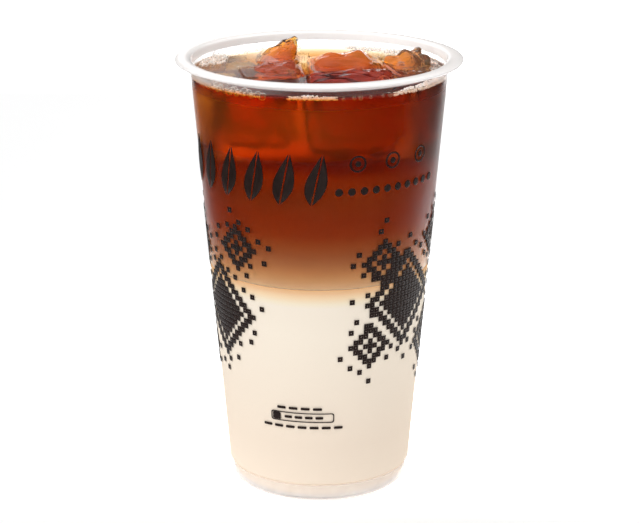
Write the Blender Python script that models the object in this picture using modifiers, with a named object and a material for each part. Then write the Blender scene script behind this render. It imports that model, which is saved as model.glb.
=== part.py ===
"""Iced milk tea in a tapered translucent plastic cup, built at real size.

The cup is a turned shell with a rolled lip and a stacking step above its foot.
It holds a layer of milk, a layer of tea cut out round the ice, and the blocks of
ice that break the surface of the tea.  Metres, +Z up, origin at the centre of the
foot, where the cup stands.
"""

import math

import bmesh
import bpy
from mathutils import Vector

# Cup, outside
CUP_HEIGHT = 0.146
LIP_RADIUS = 0.0475
CONE_RADIUS_TOP = 0.04313  # outer face of the wall, carried up to the rim plane
CONE_RADIUS_STEP = 0.0311  # outer face of the wall, where it meets the step
STEP_HEIGHT = 0.0062
STEP_DEPTH = 0.0009  # how far the foot is set in under the wall
FOOT_RADIUS = 0.0299
FOOT_CORNER = 0.0016
WALL = 0.0008

# Lip: a flattened roll that leans out over the wall
LIP_CREST_RADIUS = 0.0448
LIP_DROP = 0.0007  # from the crest down to the widest point
LIP_THICKNESS = 0.0013
LIP_EDGE = 0.0005
LIP_FILLET = 0.0009

# Foot and floor
RECESS_RADIUS = 0.0250
RECESS_DEPTH = 0.0012
FLOOR_THICKNESS = 0.0010

# Contents
GAP = 0.0003  # kept between neighbouring solids
TEA_LEVEL = 0.1402
MILK_LEVEL = 0.0765

# Ice
ICE_DEPTH = 0.0215  # how far a block reaches down under the surface of the tea
ICE_TAPER = 0.86  # size of a block's underside against its top
ICE_ROUNDING = 9.0  # exponent of the rounded cube: higher is sharper
ICE_EDGE = 0.0005  # how softly one face of a block's top runs into the next
ICE_DENT = 0.0008  # depth of the hollows that melting leaves in its faces
ICE_DENT_TURNS = 2.3  # waves of those hollows across half a block
ICE_PHASE = (0.3, 1.1, 2.0)  # of those waves in the first block, along each of its axes
ICE_PHASE_STEP = (1.7, 2.3, 0.9)  # from each block to the next
ICE_CUTS = 6  # rows of cuts across each face of the cube

ROUND_STEPS = 72
ARC_STEPS = 4

# Blocks of ice at the surface: name, centre and size seen from above, turn in degrees, and the
# flat faces of the worn top.  A face is its height over the tea above the middle of the block,
# and how much it rises to the right and to the back; the lowest face counts at each point.
ICE_BLOCKS = (
    (
        "ice_back_left",
        (-0.0143, 0.0248),
        (0.0120, 0.0205),
        -4,
        ((0.0017, 0.50, 0.27), (0.0049, 0.0, 0.8), (0.0046, 0.8, 0.0)),
    ),
    (
        "ice_centre",
        (0.0095, 0.0140),
        (0.0225, 0.0240),
        6,
        ((0.0036, 0.10, -0.12), (0.0040, 0.02, 0.30), (0.0062, -0.06, 0.9), (0.0060, -0.60, 0.1)),
    ),
    (
        "ice_right",
        (0.0298, 0.0073),
        (0.0130, 0.0250),
        14,
        ((0.0032, 0.28, 0.02), (0.0040, 0.10, 0.45), (0.0046, 0.9, 0.15)),
    ),
    (
        "ice_left",
        (-0.0160, 0.0008),
        (0.0192, 0.0190),
        9,
        ((0.0020, 0.14, -0.05), (0.0024, 0.05, 0.45), (0.0040, 0.6, 0.3), (0.0052, -0.5, 0.2)),
    ),
    (
        "ice_front",
        (0.0100, -0.0138),
        (0.0290, 0.0165),
        3,
        ((0.0028, 0.04, -0.05), (0.0034, -0.08, 0.25), (0.0080, 0.5, 0.0)),
    ),
)


def cone_radius(height):
    """Outer radius of the tapered wall at a height."""
    share = (height - STEP_HEIGHT) / (CUP_HEIGHT - STEP_HEIGHT)
    return CONE_RADIUS_STEP + share * (CONE_RADIUS_TOP - CONE_RADIUS_STEP)


def arc(centre, radii, start, end, steps=ARC_STEPS):
    """Points (radius, height) along part of an ellipse, angles in degrees."""
    points = []
    for i in range(steps + 1):
        angle = math.radians(start + (end - start) * i / steps)
        points.append((centre[0] + radii[0] * math.cos(angle), centre[1] + radii[1] * math.sin(angle)))
    return points


def cavity_profile(inset):
    """Inner face of the cup from the middle of the floor to the top of the cone, moved in by inset."""
    floor = RECESS_DEPTH + FLOOR_THICKNESS + inset
    foot = FOOT_RADIUS - WALL - inset
    shelf = STEP_HEIGHT + WALL + inset
    return [
        (0.0, floor),
        *arc((foot - FOOT_CORNER, floor + FOOT_CORNER), (FOOT_CORNER, FOOT_CORNER), -90, 0),
        (foot + 0.0002, shelf - STEP_DEPTH),
        (cone_radius(shelf) - WALL - inset, shelf),
    ]


def cup_profile():
    """Cup section: up the inside from the floor, over the lip, down the outside and under the foot."""
    inner_top = cone_radius(CUP_HEIGHT) - WALL
    lip_bottom = CUP_HEIGHT - LIP_THICKNESS
    under_lip = cone_radius(lip_bottom - LIP_FILLET)
    crest_width = LIP_CREST_RADIUS - inner_top
    outer_width = LIP_RADIUS - LIP_CREST_RADIUS
    return [
        *cavity_profile(0.0),
        *arc((LIP_CREST_RADIUS, CUP_HEIGHT - LIP_DROP), (crest_width, LIP_DROP), 180, 90),
        *arc((LIP_CREST_RADIUS, CUP_HEIGHT - LIP_DROP), (outer_width, LIP_DROP), 90, 0)[1:],
        *arc((LIP_RADIUS - LIP_EDGE, lip_bottom + LIP_EDGE), (LIP_EDGE, LIP_EDGE), 0, -90)[1:],
        *arc((under_lip + LIP_FILLET, lip_bottom - LIP_FILLET), (LIP_FILLET, LIP_FILLET), 90, 180),
        (CONE_RADIUS_STEP, STEP_HEIGHT),
        (CONE_RADIUS_STEP - STEP_DEPTH, STEP_HEIGHT - STEP_DEPTH),
        *arc((FOOT_RADIUS - FOOT_CORNER, FOOT_CORNER), (FOOT_CORNER, FOOT_CORNER), 0, -90),
        (RECESS_RADIUS + RECESS_DEPTH, 0.0),
        (RECESS_RADIUS, RECESS_DEPTH),
        (0.0, RECESS_DEPTH),
    ]


def milk_profile():
    """Milk section, from the middle of its top down its side and along the floor."""
    wall = [(cone_radius(MILK_LEVEL) - WALL - GAP, MILK_LEVEL)]
    return [(0.0, MILK_LEVEL), *wall, *reversed(cavity_profile(GAP))]


def tea_profile():
    """Tea section, a plain tapered disc from its surface down to the milk."""
    bottom = MILK_LEVEL + GAP
    return [
        (0.0, TEA_LEVEL),
        (cone_radius(TEA_LEVEL) - WALL - GAP, TEA_LEVEL),
        (cone_radius(bottom) - WALL - GAP, bottom),
        (0.0, bottom),
    ]


def material(name, colour, roughness, transmission=0.0, ior=1.45):
    """Principled material for one kind of stuff."""
    made = bpy.data.materials.new(name)
    made.use_nodes = True
    shader = made.node_tree.nodes["Principled BSDF"]
    shader.inputs["Base Color"].default_value = (*colour, 1.0)
    shader.inputs["Roughness"].default_value = roughness
    shader.inputs["Metallic"].default_value = 0.0
    shader.inputs["Transmission Weight"].default_value = transmission
    shader.inputs["IOR"].default_value = ior
    made.diffuse_color = (*colour, 1.0)
    return made


def turned(name, profile, stuff, collection):
    """Closed solid of revolution from a profile of (radius, height) points."""
    mesh = bpy.data.meshes.new(name)
    points = [(radius, 0.0, height) for radius, height in profile]
    edges = [(i, i + 1) for i in range(len(points) - 1)]
    mesh.from_pydata(points, edges, [])
    mesh.materials.append(stuff)
    obj = bpy.data.objects.new(name, mesh)
    collection.objects.link(obj)
    screw = obj.modifiers.new("turn", "SCREW")
    screw.axis = "Z"
    screw.angle = 2 * math.pi
    screw.steps = ROUND_STEPS
    screw.render_steps = ROUND_STEPS
    screw.use_merge_vertices = True
    screw.merge_threshold = 0.00001
    screw.use_smooth_shade = True
    return obj


def ice_point(cube, size, faces, phases, grow):
    """Where a point of the cube (each side 2) goes on a worn block, in the block's own axes.

    The cube is drawn in to a superellipsoid, its top follows the lowest of the flat faces, with
    soft edges between them, its underside is smaller by the taper, and products of sine waves
    dent its faces.
    """
    power = ICE_ROUNDING
    reach = sum(abs(part) ** power for part in cube) ** (1 / power)
    x, y, z = (part / reach for part in cube)
    levels = [face[0] + face[1] * x * size[0] / 2 + face[2] * y * size[1] / 2 for face in faces]
    crest = -ICE_EDGE * math.log(sum(math.exp(-level / ICE_EDGE) for level in levels))
    low, high = (1 - z) / 2, (1 + z) / 2
    spread = high + low * ICE_TAPER
    point = Vector((x * spread * size[0] / 2, y * spread * size[1] / 2, high * crest - low * ICE_DEPTH))
    outward = Vector((x, y, z))
    waves = [math.sin(ICE_DENT_TURNS * math.pi * part + phase) for part, phase in zip(cube, phases)]
    dent = ICE_DENT * (waves[0] * waves[1] + waves[1] * waves[2] + waves[2] * waves[0]) / 2
    return point + outward * grow + outward.normalized() * dent


def ice_block(name, centre, size, turn, faces, phases, grow, stuff, collection):
    """Block of ice that floats: a rounded cube, tapered downwards, its top worn to flat faces.

    grow makes the block larger all round, for the hollow that it leaves in the tea.
    """
    mesh = bpy.data.meshes.new(name)
    form = bmesh.new()
    bmesh.ops.create_cube(form, size=2.0)
    bmesh.ops.subdivide_edges(form, edges=form.edges[:], cuts=ICE_CUTS, use_grid_fill=True)
    for corner in form.verts:
        corner.co = ice_point(corner.co.copy(), size, faces, phases, grow)
    bmesh.ops.triangulate(form, faces=form.faces[:], quad_method="FIXED")
    form.to_mesh(mesh)
    form.free()
    mesh.materials.append(stuff)
    mesh.shade_smooth()
    obj = bpy.data.objects.new(name, mesh)
    collection.objects.link(obj)
    obj.location = (*centre, TEA_LEVEL)
    obj.rotation_euler = (0.0, 0.0, math.radians(turn))
    return obj


def build():
    """Clear the scene, then make the cup, the milk, the ice and the tea round it."""
    for old in list(bpy.data.objects):
        bpy.data.objects.remove(old, do_unlink=True)
    parts = bpy.data.collections.new("iced_milk_tea")
    cutters = bpy.data.collections.new("cutters")
    bpy.context.scene.collection.children.link(parts)
    bpy.context.scene.collection.children.link(cutters)

    plastic = material("cup plastic", (0.86, 0.85, 0.84), 0.25, 0.6, 1.49)
    milk_stuff = material("milk", (0.93, 0.84, 0.72), 0.35)
    tea_stuff = material("tea", (0.28, 0.06, 0.015), 0.05, 0.5, 1.34)
    ice_stuff = material("ice", (0.95, 0.96, 0.97), 0.04, 0.9, 1.31)

    turned("cup", cup_profile(), plastic, parts)
    turned("milk", milk_profile(), milk_stuff, parts)
    tea = turned("tea", tea_profile(), tea_stuff, parts)

    for i, (name, centre, size, turn, faces) in enumerate(ICE_BLOCKS):
        phases = [phase + step * i for phase, step in zip(ICE_PHASE, ICE_PHASE_STEP)]
        ice_block(name, centre, size, turn, faces, phases, 0.0, ice_stuff, parts)
        hollow = ice_block(name + "_hollow", centre, size, turn, faces, phases, GAP, ice_stuff, cutters)
        hollow.hide_render = True
        hollow.display_type = "WIRE"
        cut = tea.modifiers.new(name, "BOOLEAN")
        cut.operation = "DIFFERENCE"
        cut.object = hollow


build()
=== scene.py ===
"""Iced milk tea in its cup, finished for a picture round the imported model.

A thin translucent cup holds milk with black tea poured over it, blocks of ice that
break the surface, and the bubbles of a shaken drink.  The print on the wall is a plain
pattern of small squares, diamonds, leaves and rings.  Metres, +Z up.
"""

import math
from functools import partial

import bpy
import numpy as np
from bpy.props import FloatProperty, FloatVectorProperty, IntProperty, PointerProperty
from bpy.types import Node, NodeSocket, Operator, Panel, PropertyGroup
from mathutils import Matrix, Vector


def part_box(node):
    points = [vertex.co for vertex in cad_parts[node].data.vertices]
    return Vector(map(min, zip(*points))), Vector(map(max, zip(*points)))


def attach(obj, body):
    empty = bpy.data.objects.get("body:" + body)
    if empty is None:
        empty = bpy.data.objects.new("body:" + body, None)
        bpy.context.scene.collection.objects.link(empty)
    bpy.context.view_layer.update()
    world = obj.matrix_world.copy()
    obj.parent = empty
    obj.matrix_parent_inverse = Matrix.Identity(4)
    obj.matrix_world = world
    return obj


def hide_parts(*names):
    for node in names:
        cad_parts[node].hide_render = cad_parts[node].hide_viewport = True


bl_info = {
    "name": "Iced Milk Tea",
    "version": (1, 0, 0),
    "blender": (4, 5, 0),
    "location": "3D View > Sidebar > Iced Tea",
    "description": "Makes a cup of iced milk tea: cup, milk, tea, ice, bubbles, print and studio",
    "category": "Add Mesh",
}

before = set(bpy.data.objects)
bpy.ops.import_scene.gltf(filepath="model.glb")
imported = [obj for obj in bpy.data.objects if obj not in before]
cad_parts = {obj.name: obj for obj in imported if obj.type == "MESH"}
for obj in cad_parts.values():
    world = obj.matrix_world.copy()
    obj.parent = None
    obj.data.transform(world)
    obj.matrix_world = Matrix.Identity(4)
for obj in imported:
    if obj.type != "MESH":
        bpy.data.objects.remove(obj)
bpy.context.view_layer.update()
CUP_LOW, CUP_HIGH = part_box("cup")
MILK_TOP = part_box("milk")[1][2]

# Cup: outer wall, foot and lip, radius and height in metres
CONE_RADIUS_TOP = 0.04313  # outer face of the wall, carried up to the rim plane
CONE_RADIUS_STEP = 0.0311
STEP_HEIGHT = 0.0062
STEP_DEPTH = 0.0009
FOOT_RADIUS = 0.0299
FOOT_CORNER = 0.0016
RECESS_RADIUS = 0.0250
RECESS_DEPTH = 0.0012
FLOOR_THICKNESS = 0.0010
LIP_CREST_RADIUS = 0.0448
LIP_DROP = 0.0007
LIP_THICKNESS = 0.0013
LIP_EDGE = 0.0005
LIP_FILLET = 0.0009
CORNER_SOFTNESS = 0.0004  # how far a moulded corner is eased back along both its sides
WHITE_START = 0.0032  # how far under the rim the inner face starts to turn white
WHITE_EDGE = 0.0006  # over what length it does, at the lip and at the foot
DRY_EDGE = 0.0005  # over what height the wall turns from wet to dry above the tea
UPPER_RING = 0.0045  # how far under the rim the outer face has its highest ring
MILKY_WET = 0.001  # how milky the wet wall is
MILKY_DRY = 0.02  # what the dry wall, the lip and the foot add to it
MILKY_LIP = 2.0
# The foot's share is raised so that, with the plastic's glow, it paints the foot white where it stands in
# shade on the floor: milky plastic and painted light
FOOT_MILK_AND_LIGHT = 0.3

# Drink
REACH = 0.0005  # how far the drink reaches into the wall, so that no air shows between them
WALL_CLIMB = 0.0012  # meniscus on the wall
WALL_CLIMB_WIDTH = 0.0016
ICE_CLIMB = 0.0005  # meniscus on the ice
ICE_CLIMB_WIDTH = 0.0009
SURFACE_RINGS = 110
SURFACE_STEPS = 360
ROUND_STEPS = 256  # steps round the cup and the cloud

CLOUD_SHOULDER = 0.0860  # height at which milk that has risen into the tea leaves the wall
CLOUD_RISE = 0.0257  # how much higher it stands in the middle
CLOUD_INSET = 0.0190  # how far in from the wall its shoulder is rounded
CLOUD_DOME = 0.0005  # how much its top is domed
CLOUD_SKIN = 0.00004  # tea left between the cloud and the wall
CLOUD_MIX = 0.0245  # height over which milk turns to the darkest cloud
MIX_DEPTH = 0.0065  # how far tea has sunk into the milk
CLOUD_SHARE = 0.62  # place of the darkest cloud in the scale of colours from milk to pale cloud
CLOUD_PAINTED_LIGHT = (0.036, 0.016, 0.33)  # radius where the cloud starts to be painted paler toward the middle, over what width and by how much: painted light, for the light that the tea keeps from the middle
SWIRL_SHARE = 0.03  # how much the swirls of pouring shift the place in that scale
MILK_JOINT = (0.03, 0.0015)  # how much the milk is shifted where it meets the cloud, and how far down
CLOUD_JOINT = (0.05, 0.004)  # how much the cloud is shifted back there, and how far up
WALL_BLUR = 0.3  # roughness of the tea's face behind the wall
HAZE_LOW = 0.118  # heights between which the tea behind the wall turns from clear to faintly hazy
HAZE_HIGH = 0.128
HAZE_SCATTER = 0.06  # share of light that the full haze scatters
# The haze is partly real and partly painted light: it is laid thickest at the front left, which makes
# that side of the tea lighter
HAZE_WIDTH = 0.03  # over this width the haze thins from the middle to the right, to a tenth
HAZE_DEPTH = 0.02  # and over this depth from the front to the back, to a twelfth

# Ice: name, centre and size seen from above, turn in degrees, flat faces of its worn top, strength
# of the tea that has got into it against the tea round it, share of light that fine air in it
# scatters, and colour of its wet skin.  A face is its height over the tea above the middle of the
# block, and how much it rises to the right and to the back; the lowest face counts at each point.
ICE_BLOCKS = (
    ("ice_back_left", (-0.0143, 0.0248), (0.0120, 0.0205), -4,
     ((0.0017, 0.50, 0.27), (0.0049, 0.0, 0.8), (0.0046, 0.8, 0.0)),
     2.4, 0.0, "#f6d888"),
    ("ice_centre", (0.0095, 0.0140), (0.0225, 0.0240), 6,
     ((0.0036, 0.10, -0.12), (0.0040, 0.02, 0.30), (0.0062, -0.06, 0.9), (0.0060, -0.60, 0.1)),
     1.7, 0.0, "#f8e4a4"),
    ("ice_right", (0.0298, 0.0073), (0.0130, 0.0250), 14,
     ((0.0032, 0.28, 0.02), (0.0040, 0.10, 0.45), (0.0046, 0.9, 0.15)),
     1.1, 0.07, "#f8bc68"),
    ("ice_left", (-0.0160, 0.0008), (0.0192, 0.0190), 9,
     ((0.0020, 0.14, -0.05), (0.0024, 0.05, 0.45), (0.0040, 0.6, 0.3), (0.0052, -0.5, 0.2)),
     0.8, 0.06, "#fcd090"),
    ("ice_front", (0.0100, -0.0138), (0.0290, 0.0165), 3,
     ((0.0028, 0.04, -0.05), (0.0034, -0.08, 0.25), (0.0080, 0.5, 0.0)),
     1.3, 0.0, "#f8e0b0"),
)
# Pieces wholly sunk in the tea, clear and cloudy
SUNK_ICE = (
    ("ice_sunk_back", (-0.0054, 0.0225), (0.0040, 0.0260), 0, ((-0.0022, 0.0, 0.01),),
     0.15, 0.0, "#fdfdfd"),
)
CLOUDY_ICE = (
    ("ice_sunk_left", (-0.0265, 0.0190), (0.0104, 0.0130), 3, ((-0.0070, 0.0, 0.0),)),
    ("ice_sunk_side", (-0.0316, 0.0010), (0.0074, 0.0140), -4, ((-0.0070, 0.0, 0.0),)),
)
ALL_ICE = ICE_BLOCKS + SUNK_ICE + CLOUDY_ICE
ICE_EDGE = 0.0005  # how softly one face of a block's top runs into the next
ICE_TAPER = 0.86
ICE_DENT = 0.0008
ICE_DENT_TURNS = 2.3
ICE_PHASE = np.array((0.3, 1.1, 2.0))  # of those waves in the first block, along each of its axes
ICE_PHASE_STEP = np.array((1.7, 2.3, 0.9))  # from each block to the next
ICE_CELLS = 26  # cells along each edge of a block
ICE_OVERLAP = 0.0001  # how far the tea reaches into the ice

# Print: squares in columns round the cup and rows up it
PRINT_COLUMNS = 128
PRINT_ROW = 0.0018
PRINT_LOW = 0.0340
PRINT_ROWS = 38
INK_PROUD = 0.00004
INK_SUNK = 0.00005
LEAF_VEIN = 0.00025

# Stepped diamonds: azimuth in degrees (0 is the front, positive to the right), height, and squares
# from the middle to a point
PRINT_DIAMONDS = (
    (52, 0.0700, 9), (27, 0.0560, 4), (33, 0.0840, 4), (84, 0.0520, 7), (80, 0.0880, 4),
    (-62, 0.0640, 9), (-46, 0.0880, 4), (-92, 0.0840, 6), (-94, 0.0480, 5), (120, 0.0740, 8),
    (152, 0.0560, 5), (180, 0.0760, 9), (-132, 0.0660, 8), (-158, 0.0880, 4),
)

# Bubbles: first and last azimuth, how far in from the wall and how far up it they reach, tries,
# and smallest and largest size against the middling one
BUBBLE_CLUSTERS = (
    (-128, -102, 0.0060, 0.0030, 160, 0.6, 1.3),
    (-86, -24, 0.0014, 0.0022, 160, 0.9, 1.6),
    (104, 168, 0.0024, 0.0018, 200, 0.5, 1.2),
    (84, 104, 0.0150, 0.0003, 60, 0.4, 0.9),
    (-170, -132, 0.0010, 0.0006, 20, 0.5, 1.0),
    (8, 60, 0.0012, 0.0004, 14, 0.5, 0.9),
)
BUBBLE_GAP = 0.7  # least distance between two bubbles against the sum of their radii
FROTH_CLUSTERS = (
    (-14, 8, 0.0020, 0.0014, 420, 0.25, 0.5),
    (34, 78, 0.0018, 0.0026, 460, 0.25, 0.5),
    (-90, -26, 0.0012, 0.0010, 220, 0.25, 0.45),
    (-128, -104, 0.0060, 0.0016, 220, 0.3, 0.6),
    (106, 166, 0.0026, 0.0014, 260, 0.3, 0.6),
)

# How strongly the table is lit from underneath at each distance behind the middle of the cup,
# from where its scale starts
GLOW_START = -0.1
REAR_GLOW = ((-0.05, 0.04), (0.06, 1.0), (0.14, 1.0), (0.26, 0.1), (0.60, 0.1), (0.69, 1.35))

# The lit sheet: place of its middle, where it fades out to each side, and how much wider it gets
# for each metre behind the cup
SHEET_MIDDLE = 0.03
SHEET_FADE = (0.15, 0.25)
SHEET_SPREAD = 0.2
FLOOR_REACH = 6.0

# White panel between dark boards low in the sky behind the cup: light at each place across it,
# from where its scale starts
PANEL_START = -0.5
BACK_PANEL = ((-0.20, 0.10), (-0.12, 0.80), (-0.045, 0.80), (-0.012, 0.06))

# Sky: the way to its brightest part, and the way down to the boards behind the cup
SKY_BRIGHT = (-0.3, -0.3, 0.9)
SKY_BOARDS = (0.0, 0.5, -1.0)
KEY_PLACE = (-0.8, -0.1, 0.7)
KEY_AIM = (0.0, 0.0, 0.08)
KEY_SIZE = 0.6
LIGHT_BOUNCES = 32

# Camera: where it stands, and how far it looks down
CAMERA_PLACE = (0.0, -0.6739, 0.2819)
CAMERA_DIP = math.radians(17.07)
CAMERA_LENS = 116.92
CAMERA_SHIFT = 0.0011

# Patterns: how many of their patches go to a metre
MOULD_FLOW = 90.0  # 11 mm each, where the sheet flowed in the mould
POURED_SWIRLS = 45.0  # 22 mm
MELT_DENTS = 300.0  # 3.3 mm
MELT_STRETCH = (0.25, 1.0, 1.0)  # these dents are four times as long from left to right
FROZEN_AIR = 250.0  # 4 mm, clouds of fine air, which in the real ice are finer than can be seen
FROTH_BEADS = 900.0  # 1.1 mm
THIN_INK = 350.0  # 2.9 mm
SHEET_MOTTLE = 12.0  # 83 mm


def linear(colour):
    """Linear red, green and blue of an sRGB hex colour."""
    parts = np.array([int(colour[i : i + 2], 16) for i in (1, 3, 5)]) / 255
    return np.where(parts <= 0.04045, parts / 12.92, ((parts + 0.055) / 1.055) ** 2.4).tolist()


class CupSettings(PropertyGroup):
    """Sizes and plastic of the cup."""

    height: FloatProperty(
        name="Height", description="Height of the cup to the top of its lip",
        default=CUP_HIGH[2] - CUP_LOW[2], unit="LENGTH", precision=4,
    )
    lip_radius: FloatProperty(
        name="Lip Radius", description="Radius of the rolled lip at its widest",
        default=CUP_HIGH[0], unit="LENGTH", precision=4,
    )
    wall: FloatProperty(
        name="Wall", description="Thickness of the plastic",
        default=0.0008, unit="LENGTH", precision=5,
    )
    plastic: FloatVectorProperty(
        name="Plastic", description="Tint of the translucent plastic",
        default=linear("#f8f0ed"), subtype="COLOR", min=0.0, max=1.0,
    )


class DrinkSettings(PropertyGroup):
    """Levels and colours of the milk and the tea."""

    tea_level: FloatProperty(
        name="Tea Level", description="Height of the surface of the tea",
        default=0.1402, unit="LENGTH", precision=4,
    )
    milk: FloatVectorProperty(
        name="Milk", description="Colour of the milk",
        default=linear("#fff3e2"), subtype="COLOR", min=0.0, max=1.0,
    )
    tea: FloatVectorProperty(
        name="Tea",
        description="Light that the tea lets through: what it lacks of white is soaked up on the way",
        default=(0.85, 0.567, 0.0), subtype="COLOR", min=0.0, max=1.0,
    )
    strength: FloatProperty(
        name="Tea Strength",
        description="How fast the tea soaks up light, for each metre the light crosses",
        default=116.0, min=0.0,
    )
    cloud: FloatVectorProperty(
        name="Cloud", description="Colour of the tea where the milk has just begun to cloud it",
        default=linear("#ab4219"), subtype="COLOR", min=0.0, max=1.0,
    )


class IceSettings(PropertyGroup):
    """Form of the blocks of ice."""

    depth: FloatProperty(
        name="Depth", description="How far a block reaches down under the surface of the tea",
        default=0.0215, unit="LENGTH", precision=4,
    )
    rounding: FloatProperty(
        name="Sharpness", description="Exponent of the rounded cube: a higher one has sharper edges",
        default=9.0, min=2.0,
    )


class BubbleSettings(PropertyGroup):
    """Bubbles that a shaken drink leaves at its edge."""

    seed: IntProperty(
        name="Seed", description="Number that starts the random places and sizes",
        default=11,
    )
    size: FloatProperty(
        name="Size", description="Radius of a middling bubble",
        default=0.0009, unit="LENGTH", precision=5,
    )


class PrintSettings(PropertyGroup):
    """Ink of the printed pattern."""

    ink: FloatVectorProperty(
        name="Ink", description="Colour of the printed pattern",
        default=linear("#20130f"), subtype="COLOR", min=0.0, max=1.0,
    )


class StudioSettings(PropertyGroup):
    """Floor and light round the cup."""

    floor: FloatVectorProperty(
        name="Floor", description="Colour of the floor",
        default=linear("#f6f6f6"), subtype="COLOR", min=0.0, max=1.0,
    )
    sky: FloatProperty(
        name="Surround", description="Strength of the even light from all round",
        default=0.86, min=0.0,
    )
    key: FloatProperty(
        name="Key Light", description="Power of the large soft light at the left",
        default=0.60, min=0.0, unit="POWER",
    )


class IcedTeaSettings(PropertyGroup):
    """All settings of the drink in its cup."""

    cup: PointerProperty(type=CupSettings)
    drink: PointerProperty(type=DrinkSettings)
    ice: PointerProperty(type=IceSettings)
    bubbles: PointerProperty(type=BubbleSettings)
    print: PointerProperty(type=PrintSettings)
    studio: PointerProperty(type=StudioSettings)


def add_node(tree, kind, values=None, stops=None):
    """Adds one shader node with its values and, if it is a ramp, its stops.

    A value with a name in small letters is a property of the node.  Any other is an input: a
    plain value, an output to link, or a node, which stands for its first output.  A stop is a
    place and a colour, linear or sRGB hex.
    """
    node = tree.nodes.new("ShaderNode" + kind)
    for name, value in (values or {}).items():
        if isinstance(name, str) and name.islower():
            setattr(node, name, value)
        elif isinstance(value, (Node, NodeSocket)):
            tree.links.new(value.outputs[0] if isinstance(value, Node) else value, node.inputs[name])
        else:
            node.inputs[name].default_value = value
    if stops:
        ramp = node.color_ramp
        while len(ramp.elements) < len(stops):
            ramp.elements.new(1.0)
        for element, (place, colour) in zip(ramp.elements, stops):
            element.position = place
            element.color = (*(linear(colour) if isinstance(colour, str) else colour), 1.0)
    return node


def new_material(name):
    """Empty node material, and add_node bound to its tree."""
    stuff = bpy.data.materials.new(name)
    stuff.use_nodes = True
    stuff.node_tree.nodes.clear()
    return stuff, partial(add_node, stuff.node_tree)


def closed_mesh(name, grids, loop=False):
    """Closed mesh over grids of points (shapes, rows, columns, 3) whose columns run right round.

    The first and last rows of a shape are poles, each shrunk to one point and joined by a fan.
    With loop the rows close on each other as well, so that there is no pole.
    """
    grids = grids.reshape(-1, *grids.shape[-3:])
    shapes, rows, columns = grids.shape[:3]
    along = np.arange(columns)
    beside = (along + 1) % columns
    if loop:
        index = np.arange(rows * columns).reshape(rows, columns)
        low, high = index, np.roll(index, -1, axis=0)
        points = grids.reshape(shapes, -1, 3)
        fans = np.empty((0, 3), dtype=int)
    else:
        index = 1 + np.arange((rows - 2) * columns).reshape(rows - 2, columns)
        last = index.size + 1
        low, high = index[:-1], index[1:]
        middle = grids[:, 1:-1].reshape(shapes, -1, 3)
        points = np.concatenate([grids[:, 0, :1], middle, grids[:, -1, :1]], axis=1)
        first_fan = np.stack([np.zeros_like(along), index[0, beside], index[0, along]], axis=1)
        last_fan = np.stack([index[-1, along], index[-1, beside], np.full_like(along, last)], axis=1)
        fans = np.concatenate([first_fan, last_fan])
    quads = np.stack([low[:, along], low[:, beside], high[:, beside], high[:, along]], axis=2)
    starts = np.arange(shapes)[:, None, None] * points.shape[1]
    faces = (starts + quads.reshape(-1, 4)).reshape(-1, 4).tolist()
    faces += (starts + fans).reshape(-1, 3).tolist()
    mesh = bpy.data.meshes.new(name)
    mesh.from_pydata(points.reshape(-1, 3).tolist(), [], faces)
    return mesh


def add_object(name, data):
    """Puts an object with this mesh, light or camera into the scene."""
    thing = bpy.data.objects.new(name, data)
    bpy.context.scene.collection.objects.link(thing)
    return thing


def place_piece(name, mesh, stuff, replaces=()):
    """Puts a finished mesh into the scene as a piece that rides on the cup's body."""
    piece = add_object(name, mesh)
    mesh.materials.append(stuff)
    mesh.shade_smooth()
    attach(piece, "root")
    if replaces:
        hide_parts(*replaces)
    return piece


def points_of(mesh):
    """Vertex places of a mesh as an array."""
    flat = np.empty(len(mesh.vertices) * 3, dtype=np.float32)
    mesh.vertices.foreach_get("co", flat)
    return flat.reshape(-1, 3).astype(float)


def set_mask(mesh, name, values):
    """Stores one number for each vertex, for the material to read."""
    mask = mesh.attributes.new(name, "FLOAT", "POINT")
    mask.data.foreach_set("value", np.asarray(values, dtype=np.float32))


def arc(centre, radii, start, end, steps=6):
    """Points (radius, height) along part of an ellipse, angles in degrees."""
    angles = np.radians(np.linspace(start, end, steps + 1))
    return np.array(centre) + np.array(radii) * np.stack([np.cos(angles), np.sin(angles)], axis=1)


def cone_radius(height):
    """Outer radius of the tapered wall at a height."""
    share = (height - STEP_HEIGHT) / (CUP_HIGH[2] - STEP_HEIGHT)
    return CONE_RADIUS_STEP + share * (CONE_RADIUS_TOP - CONE_RADIUS_STEP)


def eased(profile, softness=CORNER_SOFTNESS, steps=3):
    """Profile with each corner replaced by a parabola that leaves both its sides at the softness."""
    before, corner, after = profile[:-2], profile[1:-1], profile[2:]
    back = before - corner
    ahead = after - corner
    back_share = np.minimum(softness / np.linalg.norm(back, axis=1, keepdims=True), 0.45)
    ahead_share = np.minimum(softness / np.linalg.norm(ahead, axis=1, keepdims=True), 0.45)
    start, end = corner + back * back_share, corner + ahead * ahead_share
    t = np.linspace(0, 1, steps + 1)[None, :, None]
    curve = (1 - t) ** 2 * start[:, None] + 2 * t * (1 - t) * corner[:, None] + t**2 * end[:, None]
    return np.concatenate([profile[:1], curve.reshape(-1, 2), profile[-1:]])


def divided(profile, spacing):
    """Profile with points added so that none of its steps is longer than the spacing."""
    along = np.concatenate([[0], np.cumsum(np.linalg.norm(np.diff(profile, axis=0), axis=1))])
    stations = np.union1d(along, np.arange(0, along[-1], spacing))
    return np.stack([np.interp(stations, along, side) for side in profile.T], axis=1)


def turned(profile, steps):
    """Grid of a profile of (radius, height) points carried once round Z."""
    angles = np.linspace(0, 2 * np.pi, steps, endpoint=False)
    x = profile[:, :1] * np.cos(angles)
    y = profile[:, :1] * np.sin(angles)
    z = np.broadcast_to(profile[:, 1:], x.shape)
    return np.stack([x, y, z], axis=2)


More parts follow.
